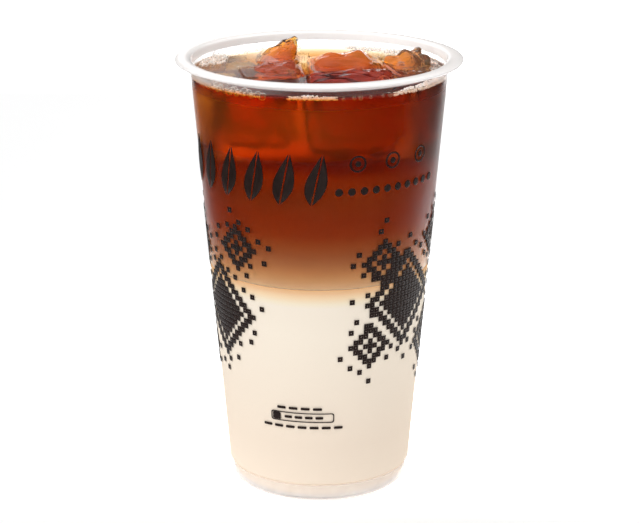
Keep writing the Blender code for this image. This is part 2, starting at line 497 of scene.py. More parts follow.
def cavity_profile(inset, wall):
    """Inner face of the cup from the middle of its floor to the start of the cone, moved in by inset."""
    floor = RECESS_DEPTH + FLOOR_THICKNESS + inset
    foot = FOOT_RADIUS - wall - inset
    shelf = STEP_HEIGHT + wall + inset
    return np.concatenate([
        [(0.0, floor)],
        arc((foot - FOOT_CORNER, floor + FOOT_CORNER), (FOOT_CORNER, FOOT_CORNER), -90, 0),
        [(foot + 0.0002, shelf - STEP_DEPTH)],
        [(cone_radius(shelf) - wall - inset, shelf)],
    ])


def cup_profile(height, lip_radius, wall, level):
    """Cup section: up the inside from the floor, over the lip, down the outside and under the foot.

    Both faces of the wall have points where the masks change, at the level of the tea and under
    the lip.
    """
    whites = (UPPER_RING, WHITE_START, WHITE_START - WHITE_EDGE)
    marks = np.array([level, level + DRY_EDGE, *(height - under for under in whites)])
    marked = np.stack([cone_radius(marks), marks], axis=1)
    inner_top = CONE_RADIUS_TOP - wall
    lip_bottom = height - LIP_THICKNESS
    under_lip = cone_radius(lip_bottom - LIP_FILLET)
    crest = (LIP_CREST_RADIUS, height - LIP_DROP)
    section = np.concatenate([
        cavity_profile(0.0, wall),
        marked - (wall, 0),
        arc(crest, (LIP_CREST_RADIUS - inner_top, LIP_DROP), 180, 90),
        arc(crest, (lip_radius - LIP_CREST_RADIUS, LIP_DROP), 90, 0)[1:],
        arc((lip_radius - LIP_EDGE, lip_bottom + LIP_EDGE), (LIP_EDGE, LIP_EDGE), 0, -90)[1:],
        arc((under_lip + LIP_FILLET, lip_bottom - LIP_FILLET), (LIP_FILLET, LIP_FILLET), 90, 180),
        marked[2::-1],
        [(CONE_RADIUS_STEP, STEP_HEIGHT), (CONE_RADIUS_STEP - STEP_DEPTH, STEP_HEIGHT - STEP_DEPTH)],
        arc((FOOT_RADIUS - FOOT_CORNER, FOOT_CORNER), (FOOT_CORNER, FOOT_CORNER), 0, -90),
        [(RECESS_RADIUS + RECESS_DEPTH, 0.0), (RECESS_RADIUS, RECESS_DEPTH), (0.0, RECESS_DEPTH)],
    ])
    # The section runs clockwise, so it is turned round to make the faces look outwards
    return divided(eased(section), 0.002)[::-1]


def moulded_grain(add):
    """Soft unevenness of moulded plastic: its value, a roughness and a bent normal."""
    place = add("TexCoord").outputs["Object"]
    flow = add("TexNoise", {"Vector": place, "Scale": MOULD_FLOW, "Detail": 3.0})
    rough = add("MapRange", {
        "Value": flow, "From Min": 0.3, "From Max": 0.7, "To Min": 0.08, "To Max": 0.14,
    })
    bent = add("Bump", {"Height": flow, "Strength": 0.15, "Distance": 0.0003})
    return flow, rough, bent


def polypropylene(settings):
    """Translucent polypropylene, thermoformed thin in a polished mould.

    It is nearly clear where the drink wets its inner face, faintly milky where both faces are dry,
    and white at the lip, where the sheet is rolled up thick.  The gloss of the dry wall is partly a
    painted sheen: the white plastic covers more of it where it is seen side on.  Wherever the
    plastic covers, it also glows faintly, painted light that brightens the lip and the foot.
    """
    stuff, add = new_material("translucent polypropylene")
    flow, rough, bent = moulded_grain(add)
    haze = add("Attribute", {"attribute_name": "haze"}).outputs["Fac"]
    dry = add("Attribute", {"attribute_name": "dry"}).outputs["Fac"]
    patch = add("MapRange", {"Value": flow, "To Min": 0.6, "To Max": 1.4})
    # Painted sheen: the dry wall is covered by more white plastic the more side on it is seen
    slant = add("LayerWeight", {"Blend": 0.5}).outputs["Facing"]
    shine = add("MapRange", {
        "interpolation_type": "SMOOTHSTEP", "Value": slant, "From Min": 0.3, "From Max": 1.0,
        "To Max": 0.6,
    })
    painted_sheen = add("Math", {"operation": "MULTIPLY", 0: dry, 1: shine})
    cover = add("Math", {"operation": "MULTIPLY_ADD", "use_clamp": True, 0: haze, 1: patch, 2: painted_sheen})
    # The emission is painted light: the plastic glows faintly where it covers, most at the lip and the
    # foot
    shader = add("BsdfPrincipled", {
        "Base Color": (*settings.plastic, 1.0), "Roughness": rough, "IOR": 1.49,
        "Subsurface Weight": 1.0, "Subsurface Radius": (1.0, 1.0, 1.0), "Subsurface Scale": 0.002,
        "Emission Color": (*settings.plastic, 1.0), "Emission Strength": 0.12, "Alpha": cover,
        "Normal": bent,
    })
    add("OutputMaterial", {"Surface": shader})
    return stuff


class ICEDTEA_OT_cup(Operator):
    """Make the cup: a thin tapered wall, a rolled lip and a stepped foot"""

    bl_idname = "iced_tea.cup"
    bl_label = "Cup"

    def execute(self, context):
        settings = context.scene.iced_tea.cup
        level = context.scene.iced_tea.drink.tea_level
        profile = cup_profile(settings.height, settings.lip_radius, settings.wall, level)
        mesh = closed_mesh("cup_shell", turned(profile, ROUND_STEPS))
        points = points_of(mesh)
        height = points[:, 2]
        radius = np.hypot(points[:, 0], points[:, 1])
        under = settings.height - height
        inside = (radius < cone_radius(height) - settings.wall / 2) | (under < LIP_THICKNESS)
        flange = np.clip((radius - CONE_RADIUS_TOP - 0.0001) / WHITE_EDGE, 0, 1)
        lip = np.maximum(flange, np.clip((WHITE_START - under) / WHITE_EDGE, 0, 1) * inside)
        # Mask of the foot: partly painted light that whitens the foot against its shade on the floor
        foot = np.clip((STEP_HEIGHT - height) / WHITE_EDGE, 0, 1)
        dry = np.clip((height - level) / DRY_EDGE, 0, 1)
        set_mask(mesh, "haze", MILKY_WET + MILKY_DRY * dry + MILKY_LIP * lip + FOOT_MILK_AND_LIGHT * foot)
        set_mask(mesh, "dry", dry)
        place_piece("cup_shell", mesh, polypropylene(settings), ["cup"])
        return {"FINISHED"}


def poured_colour(add, place, settings):
    """Colour of the milk, by how far the tea has mixed into it.

    A broad noise shifts the mixing a little, as pouring does, and a painted shade darkens it
    toward the foot.
    """
    swirl = add("TexNoise", {"Vector": place, "Scale": POURED_SWIRLS, "Detail": 2.0})
    mixed = add("Attribute", {"attribute_name": "mixed"}).outputs["Fac"]
    share = add("Math", {"operation": "MULTIPLY_ADD", 0: swirl, 1: SWIRL_SHARE, 2: mixed})
    ramp = add("ValToRGB", {"Fac": share}, [
        (0.00, tuple(settings.milk)), (0.04, "#fff0d6"), (0.09, "#ffe2bc"), (0.15, "#f7c899"),
        (0.22, "#ebb27b"), (0.30, "#dd9862"), (0.38, "#c67d4f"), (0.46, "#b9673b"),
        (0.54, "#b65a2b"), (CLOUD_SHARE, tuple(settings.cloud)), (1.0, "#f0a868"),
    ])
    # Painted shade: the colour darkens toward the foot, so that the lower milk does not look brighter
    # than the upper in this light
    height = add("SeparateXYZ", {"Vector": place}).outputs["Z"]
    depth = add("MapRange", {"Value": height, "From Min": 0.02, "From Max": 0.06})
    painted_shade_low = add("ValToRGB", {"Fac": depth}, [(0.0, (0.88, 0.84, 0.82)), (1.0, (1.0, 1.0, 1.0))])
    return add("VectorMath", {"operation": "MULTIPLY", 0: ramp, 1: painted_shade_low})


def fresh_milk(settings):
    """Whole milk, poured.

    It gives a cream white, painted darker toward the foot.
    """
    stuff, add = new_material("fresh milk")
    place = add("TexCoord").outputs["Object"]
    shader = add("BsdfPrincipled", {
        "Base Color": poured_colour(add, place, settings), "Roughness": 0.35, "IOR": 1.35,
        "Specular IOR Level": 0.0,
    })
    add("OutputMaterial", {"Surface": shader})
    return stuff


def cloud_profile(wall):
    """Section of the cloud, from the middle of its foot to the middle of its top.

    It goes straight up the wall, then over a quarter of an ellipse to a dome that is nearly flat.
    """
    swell = np.radians(np.linspace(0, 90, 40)[1:])
    shoulder = np.linspace(MILK_TOP, CLOUD_SHOULDER, 16)
    heights = np.concatenate([shoulder, CLOUD_SHOULDER + CLOUD_RISE * np.sin(swell)])
    inset = np.concatenate([0 * shoulder, CLOUD_INSET * (1 - np.cos(swell))]) + CLOUD_SKIN - REACH
    side = np.stack([cone_radius(heights) - wall - inset, heights], axis=1)
    radii = np.linspace(1, 0, 30)[1:]
    dome = np.stack([side[-1, 0] * radii, heights[-1] + CLOUD_DOME * (1 - radii**2)], axis=1)
    return np.concatenate([[(0.0, MILK_TOP)], side, dome])


def mixed_share(height):
    """Place in the scale of colours, which rises evenly from where the first tea has sunk to."""
    return CLOUD_SHARE * (height - MILK_TOP + MIX_DEPTH) / CLOUD_MIX


class ICEDTEA_OT_milk(Operator):
    """Make the milk that fills the lower half of the cup"""

    bl_idname = "iced_tea.milk"
    bl_label = "Milk"

    def execute(self, context):
        settings = context.scene.iced_tea
        wall = settings.cup.wall
        side = np.array([(cone_radius(MILK_TOP) - wall + REACH, MILK_TOP)])
        profile = np.concatenate([cavity_profile(-REACH, wall), side, [(0.0, MILK_TOP)]])
        stuff = fresh_milk(settings.drink)
        mesh = closed_mesh("milk_fill", turned(divided(eased(profile, 0.0003), 0.003), 192))
        height = points_of(mesh)[:, 2]
        # Cloud looks darker behind its skin of tea, so each side of the joint is shifted to meet
        joint = MILK_JOINT[0] * np.exp((height - MILK_TOP) / MILK_JOINT[1])
        set_mask(mesh, "mixed", mixed_share(height) - SWIRL_SHARE / 2 + joint)
        place_piece("milk_fill", mesh, stuff, ["milk"])

        profile = cloud_profile(wall)
        radius, height = profile.T
        start, width, most = CLOUD_PAINTED_LIGHT
        # Painted light: the cloud is paler toward the middle, to make up for the light that the tea round
        # it soaks up on the way there
        pale = most * np.clip((start - radius) / width, 0, 1)
        joint = CLOUD_JOINT[0] * np.exp((MILK_TOP - height) / CLOUD_JOINT[1])
        mixed = np.minimum(mixed_share(height), CLOUD_SHARE) + pale - joint
        mixed[0] = 0
        mesh = closed_mesh("milk_cloud", turned(profile, ROUND_STEPS))
        values = np.concatenate([mixed[:1], np.repeat(mixed[1:-1], ROUND_STEPS), mixed[-1:]])
        set_mask(mesh, "mixed", np.minimum(values, 1) - SWIRL_SHARE / 2)
        place_piece("milk_cloud", mesh, stuff)
        return {"FINISHED"}


def phased_ice():
    """Each block of ice with the three phases of the waves in its faces."""
    return [(block, ICE_PHASE + ICE_PHASE_STEP * i) for i, block in enumerate(ALL_ICE)]


def ice_shape(cube, size, faces, phases, depth, rounding, grow=0.0):
    """Where points of the cube (each side 2) go on a worn block, in the block's own axes.

    The cube is drawn in to a superellipsoid, its top follows the lowest of the flat faces, with
    soft edges between them, its underside is smaller by the taper, and products of sine waves
    dent its faces.
    """
    reach = (np.abs(cube) ** rounding).sum(axis=1) ** (1 / rounding)
    outward = cube / reach[:, None]
    x, y, z = outward.T
    high = (1 + z) / 2
    levels = np.array([face[0] + face[1] * x * size[0] / 2 + face[2] * y * size[1] / 2 for face in faces])
    crest = -ICE_EDGE * np.log(np.exp(-levels / ICE_EDGE).sum(axis=0))
    spread = high + (1 - high) * ICE_TAPER
    height = high * crest - (1 - high) * depth
    points = np.stack([x * spread * size[0] / 2, y * spread * size[1] / 2, height], axis=1)
    waves = np.sin(ICE_DENT_TURNS * np.pi * cube + phases)
    dent = ICE_DENT * (waves * np.roll(waves, -1, axis=1)).sum(axis=1) / 2
    return points + outward * grow + outward * (dent / np.linalg.norm(outward, axis=1))[:, None]


def cube_grid(cells):
    """Points and faces of a cube with side 2 whose faces are grids, its edges joined."""
    line = np.linspace(-1, 1, cells + 1)
    u, v = np.meshgrid(line, line, indexing="ij")
    one = np.ones_like(u)
    sides = [(one, u, v), (-one, v, u), (v, one, u), (u, -one, v), (u, v, one), (v, u, -one)]
    loose = np.concatenate([np.stack(side, axis=2).reshape(-1, 3) for side in sides])
    points, index = np.unique(np.round(loose, 6), axis=0, return_inverse=True)
    index = index.reshape(6, cells + 1, cells + 1)
    quads = np.stack([index[:, :-1, :-1], index[:, 1:, :-1], index[:, 1:, 1:], index[:, :-1, 1:]], axis=3)
    return points, quads.reshape(-1, 4).tolist()


def ice_mesh(name, block, phases, settings, grow=0.0, cells=ICE_CELLS):
    """Mesh of one block of ice in its place in the tea, larger all round by grow."""
    _, centre, size, turn, top, *_ = block
    cube, faces = cube_grid(cells)
    points = ice_shape(cube, size, top, phases, settings.ice.depth, settings.ice.rounding, grow)
    angle = math.radians(turn)
    x = centre[0] + points[:, 0] * math.cos(angle) - points[:, 1] * math.sin(angle)
    y = centre[1] + points[:, 0] * math.sin(angle) + points[:, 1] * math.cos(angle)
    z = settings.drink.tea_level + points[:, 2]
    mesh = bpy.data.meshes.new(name)
    mesh.from_pydata(np.stack([x, y, z], axis=1).tolist(), [], faces)
    return mesh


def ice_distance(x, y):
    """Rough distance from each point of the surface out to the nearest block, negative inside it."""
    nearest = np.full(np.shape(x), 1.0)
    for _, centre, size, turn, *_ in ICE_BLOCKS:
        angle = math.radians(turn)
        across = (x - centre[0]) * math.cos(angle) + (y - centre[1]) * math.sin(angle)
        along = (y - centre[1]) * math.cos(angle) - (x - centre[0]) * math.sin(angle)
        outline = ((np.abs(across) * 2 / size[0]) ** 9 + (np.abs(along) * 2 / size[1]) ** 9) ** (1 / 9)
        away = (1 - 1 / np.maximum(outline, 0.001)) * np.hypot(across, along)
        nearest = np.minimum(nearest, away)
    return nearest


def black_tea(settings):
    """Strong black tea, shaken, clear in depth and faintly hazy behind the upper wall.

    It gives amber where light crosses a little of it and red brown where it crosses a lot,
    under a mirror smooth surface, with a thin amber haze in front of the ice, laid thickest at
    the front left, where it paints the tea lighter.
    """
    stuff, add = new_material("black tea")
    wall = add("Attribute", {"attribute_name": "wall"}).outputs["Fac"]
    blur = add("Math", {"operation": "MULTIPLY", 0: wall, 1: WALL_BLUR})
    haze = add("Attribute", {"attribute_name": "haze"}).outputs["Fac"]
    amber = add("ValToRGB", {"Fac": haze}, [(0.0, (1.0, 1.0, 1.0)), (0.2, "#ffa020")])
    clear = add("Math", {"operation": "MULTIPLY_ADD", 0: haze, 1: -HAZE_SCATTER, 2: 1.0})
    shader = add("BsdfPrincipled", {
        "Base Color": amber, "Roughness": blur, "IOR": 1.33, "Specular Tint": (0.1, 0.1, 0.1, 1.0),
        "Transmission Weight": clear,
    })
    soaked = add("VolumeAbsorption", {"Color": (*settings.tea, 1.0), "Density": settings.strength})
    add("OutputMaterial", {"Surface": shader, "Volume": soaked})
    return stuff


def whole_tea(wall, level):
    """Mesh of the tea before the ice is cut out of it: up the wall, then in over the surface.

    The surface climbs by one exponential of the distance to the wall and one of that to the ice,
    and its edge follows the wall outwards as it climbs.
    """
    edge = cone_radius(level) - wall + REACH
    surface = np.stack([np.linspace(edge, 0, SURFACE_RINGS), np.full(SURFACE_RINGS, level)], axis=1)
    foot = (cone_radius(MILK_TOP) - wall + REACH, MILK_TOP)
    side = divided(np.array([foot, (edge, level)]), 0.002)
    grid = turned(np.concatenate([[(0.0, MILK_TOP)], side[:-1], surface]), SURFACE_STEPS)
    top = grid[-SURFACE_RINGS:]
    x, y = top[..., 0], top[..., 1]
    climb = WALL_CLIMB * np.exp((np.hypot(x, y) - edge) / WALL_CLIMB_WIDTH)
    climb += ICE_CLIMB * np.exp(-np.maximum(ice_distance(x, y), 0) / ICE_CLIMB_WIDTH)
    top[..., 2] += climb
    widen = 1 + (cone_radius(level + climb[0]) - cone_radius(level)) / edge
    top[0, :, :2] *= widen[:, None]
    return closed_mesh("tea_whole", grid)


def hollowed(whole, context):
    """Mesh of the tea with every block of ice cut out of it, less the overlap."""
    settings = context.scene.iced_tea
    body = add_object("tea_body", whole)
    cutters = []
    for block, phases in phased_ice():
        hole = ice_mesh("cutter", block, phases, settings, -ICE_OVERLAP, 16)
        cutters.append(add_object("cutter", hole))
        cut = body.modifiers.new(block[0], "BOOLEAN")
        cut.operation = "DIFFERENCE"
        cut.solver = "EXACT"
        cut.object = cutters[-1]
    context.view_layer.update()
    mesh = bpy.data.meshes.new_from_object(body.evaluated_get(context.evaluated_depsgraph_get()))
    mesh.name = "tea_fill"
    for old in [body, *cutters]:
        bpy.data.objects.remove(old, do_unlink=True)
    return mesh


class ICEDTEA_OT_tea(Operator):
    """Make the tea, hollowed where the blocks of ice float in it"""

    bl_idname = "iced_tea.tea"
    bl_label = "Tea"

    def execute(self, context):
        settings = context.scene.iced_tea
        wall = settings.cup.wall
        level = settings.drink.tea_level
        mesh = hollowed(whole_tea(wall, level), context)
        x, y, z = points_of(mesh).T
        away = cone_radius(z) - wall + REACH - np.hypot(x, y)
        behind_wall = (away < 0.0002) * np.clip((level - DRY_EDGE - z) / 0.0020, 0, 1)
        risen = np.clip((z - HAZE_LOW) / (HAZE_HIGH - HAZE_LOW), 0, 1)
        # Painted light: the haze thins to the right and to the back, so the front left of the tea is
        # lighter
        left = 1 - 0.9 * np.clip(x / HAZE_WIDTH, 0, 1)
        front = np.clip(0.5 - y / HAZE_DEPTH, 0.08, 1)
        set_mask(mesh, "wall", behind_wall)
        set_mask(mesh, "haze", behind_wall * risen * left * front)
        place_piece("tea_fill", mesh, black_tea(settings.drink), ["tea"])
        mesh.set_sharp_from_angle(angle=math.radians(35))
        return {"FINISHED"}


def clear_ice(settings, tint, air, skin):
    """Clear ice, half melted in the drink, with its share of the tea's colour.

    It gives glassy wet faces with soft dents, whose bends throw streaks of the tea's amber.
    """
    stuff, add = new_material("clear ice")
    soaked = add("VolumeAbsorption", {"Color": (*settings.tea, 1.0), "Density": settings.strength * tint})
    place = add("TexCoord").outputs["Object"]
    drawn = add("VectorMath", {"operation": "MULTIPLY", 0: place, 1: MELT_STRETCH})
    melt = add("TexNoise", {"Vector": drawn, "Scale": MELT_DENTS, "Detail": 1.0})
    height = add("SeparateXYZ", {"Vector": place}).outputs["Z"]
    bare = add("MapRange", {
        "Value": height, "From Min": settings.tea_level - 0.0010, "From Max": settings.tea_level,
        "To Min": 0.06, "To Max": 1.0,
    })
    hollow = add("Bump", {"Height": melt, "Strength": bare, "Distance": 0.0022})
    shader = add("BsdfPrincipled", {
        "Base Color": (*linear(skin), 1.0), "Roughness": 0.02, "IOR": 1.31,
        "Transmission Weight": 1.0 - air, "Normal": hollow,
    })
    add("OutputMaterial", {"Surface": shader, "Volume": soaked})
    return stuff


def cloudy_ice():
    """Ice from a home tray, white with the fine air frozen into it, wholly sunk in the tea.

    It gives a soft pale body without an outline, which the tea over it turns tan.
    """
    stuff, add = new_material("cloudy ice")
    place = add("TexCoord").outputs["Object"]
    air = add("TexNoise", {"Vector": place, "Scale": FROZEN_AIR, "Detail": 2.0})
    tone = add("ValToRGB", {"Fac": air}, [(0.3, "#e8e8e8"), (0.7, "#ffffff")])
    shader = add("BsdfPrincipled", {
        "Base Color": tone, "Roughness": 0.4, "IOR": 1.31, "Specular IOR Level": 0.0,
        "Subsurface Weight": 1.0, "Subsurface Radius": (1.0, 1.0, 1.0), "Subsurface Scale": 0.004,
    })
    add("OutputMaterial", {"Surface": shader})
    return stuff


class ICEDTEA_OT_ice(Operator):
    """Make the blocks of ice that float at the surface"""

    bl_idname = "iced_tea.ice"
    bl_label = "Ice"

    def execute(self, context):
        settings = context.scene.iced_tea
        for block, phases in phased_ice():
            name = block[0] + "_clear"
            mesh = ice_mesh(name, block, phases, settings)
            solids = [block[0]] if block in ICE_BLOCKS else []
            stuff = cloudy_ice() if block in CLOUDY_ICE else clear_ice(settings.drink, *block[5:])
            place_piece(name, mesh, stuff, solids)
        return {"FINISHED"}


def bubble_film():
    """Skin of tea round air.

    It gives rings: hardly seen in the middle, pale at the rim, where the skin is seen side on; that
    paleness is partly a painted reflection, white cover that rises towards the rim, on top of the
    skin's own gloss.
    """
    stuff, add = new_material("bubble film")
    # Painted reflection: the white film covers more toward the rim of each bubble
    rim = add("LayerWeight", {"Blend": 0.5}).outputs["Facing"]
    cover = add("MapRange", {
        "interpolation_type": "SMOOTHSTEP", "Value": rim, "From Min": 0.2, "From Max": 0.85,
        "To Min": 0.1, "To Max": 1.0,
    })
    shader = add("BsdfPrincipled", {
        "Base Color": (*linear("#fff8f0"), 1.0), "Roughness": 0.05, "IOR": 1.33, "Alpha": cover,
    })
    add("OutputMaterial", {"Surface": shader})
    return stuff


def froth():
    """Fine froth of the shaken tea.

    It gives a pale cream crust of tiny beads, lighter and darker in patches, which glows faintly:
    painted light that lifts it out of the shade under the lip.
    """
    stuff, add = new_material("tea froth")
    place = add("TexCoord").outputs["Object"]
    patch = add("TexNoise", {"Vector": place, "Scale": FROTH_BEADS, "Detail": 1.0})
    tone = add("ValToRGB", {"Fac": patch}, [(0.3, "#ffdccb"), (0.6, "#fff4ec")])
    # The emission is painted light: the froth glows faintly, as if lit in the shade under the lip
    shader = add("BsdfPrincipled", {
        "Base Color": tone, "Roughness": 0.25, "IOR": 1.33, "Subsurface Weight": 1.0,
        "Subsurface Radius": (1.0, 0.9, 0.8), "Subsurface Scale": 0.001,
        "Emission Color": (*linear("#ffe6da"), 1.0), "Emission Strength": 0.2,
    })
    add("OutputMaterial", {"Surface": shader})
    return stuff


def clustered(draw, clusters, inner_radius, level, scale):
    """Centres and radii of bubbles that lie side by side along the inside of the wall.

    Each cluster is a first and last azimuth in degrees, how far it reaches in from the wall and
    how far it climbs, a number of tries and a smallest and largest size.  A bubble that would
    overlap an earlier one by more than a third is left out.
    """
    kept = np.empty((0, 4))
    for first, last, reach, climb, tries, small, large in clusters:
        azimuth = np.radians(draw.uniform(first, last, tries))
        radius = scale * draw.uniform(small, large, tries)
        middle = 1 - np.abs(2 * (azimuth - azimuth.min()) / np.ptp(azimuth) - 1)
        inward = draw.uniform(0, 1, tries) ** 2 * reach * middle**0.5
        height = level + climb * draw.uniform(0, 1, tries) * middle**0.5 * (1 - inward / reach)
        away = inner_radius - radius - inward
        places = np.stack([away * np.sin(azimuth), -away * np.cos(azimuth), height, radius], axis=1)
        for bubble in places:
            gaps = np.linalg.norm(kept[:, :3] - bubble[:3], axis=1)
            if (gaps > (kept[:, 3] + bubble[3]) * BUBBLE_GAP).all():
                kept = np.vstack([kept, bubble])
    return kept


def beads(name, bubbles):
    """Joined mesh of spheres, one for each row of centre and radius."""
    fall = np.linspace(0, np.pi, 7)[:, None]
    turn = np.linspace(0, 2 * np.pi, 10, endpoint=False)
    side = np.sin(fall)
    sphere = np.stack([side * np.cos(turn), -side * np.sin(turn), np.cos(fall) + 0 * turn], axis=2)
    return closed_mesh(name, bubbles[:, None, None, :3] + bubbles[:, None, None, 3:] * sphere)


class ICEDTEA_OT_bubbles(Operator):
    """Make the bubbles and the froth along the edge of the tea"""

    bl_idname = "iced_tea.bubbles"
    bl_label = "Bubbles"

    def execute(self, context):
        settings = context.scene.iced_tea
        draw = np.random.default_rng(settings.bubbles.seed)
        level = settings.drink.tea_level
        inner = cone_radius(level) - settings.cup.wall
        size = settings.bubbles.size
        bubbles = clustered(draw, BUBBLE_CLUSTERS, inner, level, size)
        place_piece("bubbles", beads("bubbles", bubbles), bubble_film())
        crumbs = clustered(draw, FROTH_CLUSTERS, inner, level, size)
        place_piece("froth", beads("froth", crumbs), froth())
        return {"FINISHED"}


def printing_ink(settings):
    """Solvent ink, screen printed in one pass and dried matt.

    It gives a flat brown black that is a little thin and grey in patches.
    """
    stuff, add = new_material("printing ink")
    place = add("TexCoord").outputs["Object"]
    patch = add("TexNoise", {"Vector": place, "Scale": THIN_INK, "Detail": 3.0})
    thin = [part * 1.6 + 0.002 for part in settings.ink]
    tone = add("ValToRGB", {"Fac": patch}, [(0.35, tuple(settings.ink)), (0.75, thin)])
    rough = add("MapRange", {"Value": patch, "To Min": 0.35, "To Max": 0.6})
    shader = add("BsdfPrincipled", {"Base Color": tone, "Roughness": rough, "Specular IOR Level": 0.15})
    add("OutputMaterial", {"Surface": shader})
    return stuff


def stamped(name, centres, outline, hole=None, across=None):
    """Mesh of one drawing printed on the wall at each centre (azimuth in radians, height).

    The outline, and the hole if it is a ring, run anticlockwise as offsets in metres.  across
    says how many radians a metre of the drawing's width takes, which is otherwise its true size.
    """
    centres = np.asarray(centres, dtype=float).reshape(-1, 2)
    if hole is None:
        shares = np.array([0, 1 / 3, 2 / 3, 1, 1, 2 / 3, 1 / 3, 0])[:, None, None]
        rows = outline.mean(axis=0) * (1 - shares) + outline * shares
    else:
        rows = np.stack([hole, outline, outline, hole])
    lifts = np.where(np.arange(len(rows)) < len(rows) / 2, -INK_SUNK, INK_PROUD)[:, None]
    if across is None:
        across = 1 / cone_radius(centres[:, 1])[:, None, None]
    azimuth = centres[:, 0, None, None] + rows[..., 0] * across
    height = centres[:, 1, None, None] + rows[..., 1]
    radius = cone_radius(height) + lifts
    grids = np.stack([radius * np.sin(azimuth), -radius * np.cos(azimuth), height], axis=3)
    return closed_mesh(name, grids, loop=hole is not None)


def ellipse(width, height, steps=24):
    """Anticlockwise outline of an ellipse."""
    turn = np.linspace(0, 2 * np.pi, steps, endpoint=False)
    return np.stack([width / 2 * np.cos(turn), height / 2 * np.sin(turn)], axis=1)


def rounded_bar(width, height, radius, steps=5):
    """Anticlockwise outline of a rectangle with round corners, with points along its long sides too."""
    corners = []
    for side, end, start in ((1, -1, -90), (1, 1, 0), (-1, 1, 90), (-1, -1, 180)):
        centre = (side * (width / 2 - radius), end * (height / 2 - radius))
        corners.append(arc(centre, (radius, radius), start, start + 90, steps))
    closed = np.concatenate([*corners, corners[0][:1]])
    return divided(closed, 0.0008)[:-1]


def half_leaf(width, height, lean, side):
    """Anticlockwise outline of one half of a pointed leaf, from its middle vein out to a bowed edge."""
    rise = np.linspace(-1, 1, 15)
    edge = np.stack([width / 2 * (1 - rise**2) * (1 - rise / 2) + LEAF_VEIN, height / 2 * rise], axis=1)
    vein = np.stack([np.full(13, LEAF_VEIN), height / 2 * rise[-2:0:-1]], axis=1)
    outline = np.concatenate([edge, vein])
    if side < 0:
        outline = outline[::-1] * (-1, 1)
    return outline + np.stack([lean * outline[:, 1], 0 * outline[:, 1]], axis=1)


def square_places():
    """Azimuth and height of each printed square: diamonds with a light band, and loose squares."""
    column, row = np.meshgrid(np.arange(PRINT_COLUMNS), np.arange(PRINT_ROWS), indexing="ij")
    filled = np.zeros(column.shape, dtype=bool)
    for azimuth, height, size in PRINT_DIAMONDS:
        middle = round(azimuth / 360 * PRINT_COLUMNS)
        beside = np.abs((column - middle + PRINT_COLUMNS // 2) % PRINT_COLUMNS - PRINT_COLUMNS // 2)
        away = beside + np.abs(row - round((height - PRINT_LOW) / PRINT_ROW))
        loose = (away > size + 1) & (away < size + 5) & ((column * 5 + row * 11) % 13 < 2)
        filled |= loose | ((away <= size) & (away != size - 2))
    azimuth = column[filled] * 2 * np.pi / PRINT_COLUMNS
    return np.stack([azimuth, PRINT_LOW + row[filled] * PRINT_ROW], axis=1)


SQUARE = PRINT_ROW * 0.475 * np.array(
    [(1, 0), (1, 1), (0, 1), (-1, 1), (-1, 0), (-1, -1), (0, -1), (1, -1)]
)
FRAME = rounded_bar(0.0215, 0.0034, 0.0008)
DASH = rounded_bar(0.0030, 0.0009, 0.0003)
LEAF_PLACES = [(azimuth, 0.1140) for azimuth in range(-76, 4, 15)]
RING_PLACES = [(azimuth, 0.1190) for azimuth in (17.5, 35.0, 52.5)]
# Printed figures: name, outline, hole if it has one, and the azimuth and height of each print of it
PRINT_FIGURES = (
    ("print_leaf_right", half_leaf(0.0062, 0.0170, 0.22, 1), None, LEAF_PLACES),
    ("print_leaf_left", half_leaf(0.0062, 0.0170, 0.22, -1), None, LEAF_PLACES),
    ("print_rings", ellipse(0.0056, 0.0056), ellipse(0.0044, 0.0044), RING_PLACES),
    ("print_pips", ellipse(0.0020, 0.0020), None, RING_PLACES),
    ("print_dots", ellipse(0.0026, 0.0026), None, [(a, 0.1098) for a in range(9, 64, 6)]),
    ("print_frame", FRAME, FRAME * (0.97, 0.81), [(-10, 0.0310)]),
    ("print_block", rounded_bar(0.0028, 0.0026, 0.0005), None, [(-25, 0.0310)]),
    ("print_bars", rounded_bar(0.0026, 0.0009, 0.0003), None, [(a, 0.0310) for a in range(-18, 6, 6)]),
    ("print_dashes_high", DASH, None, [(a, 0.0342) for a in range(-22, 2, 7)]),
    ("print_dashes_low", DASH, None, [(a, 0.0274) for a in range(-31, 12, 7)]),
)


class ICEDTEA_OT_print(Operator):
    """Make the printed pattern: squares, leaves, rings, dots and a framed row of dashes"""

    bl_idname = "iced_tea.print"
    bl_label = "Print"

    def execute(self, context):
        ink = printing_ink(context.scene.iced_tea.print)
        column = 2 * np.pi / PRINT_COLUMNS / PRINT_ROW
        hole = ellipse(0.00035, 0.00035, 8)
        pieces = {"print_squares": stamped("print_squares", square_places(), SQUARE, hole, column)}
        for name, drawing, hole, places in PRINT_FIGURES:
            centres = [(math.radians(azimuth), height) for azimuth, height in places]
            pieces[name] = stamped(name, centres, drawing, hole)
        for name, mesh in pieces.items():
            place_piece(name, mesh, ink)
        return {"FINISHED"}


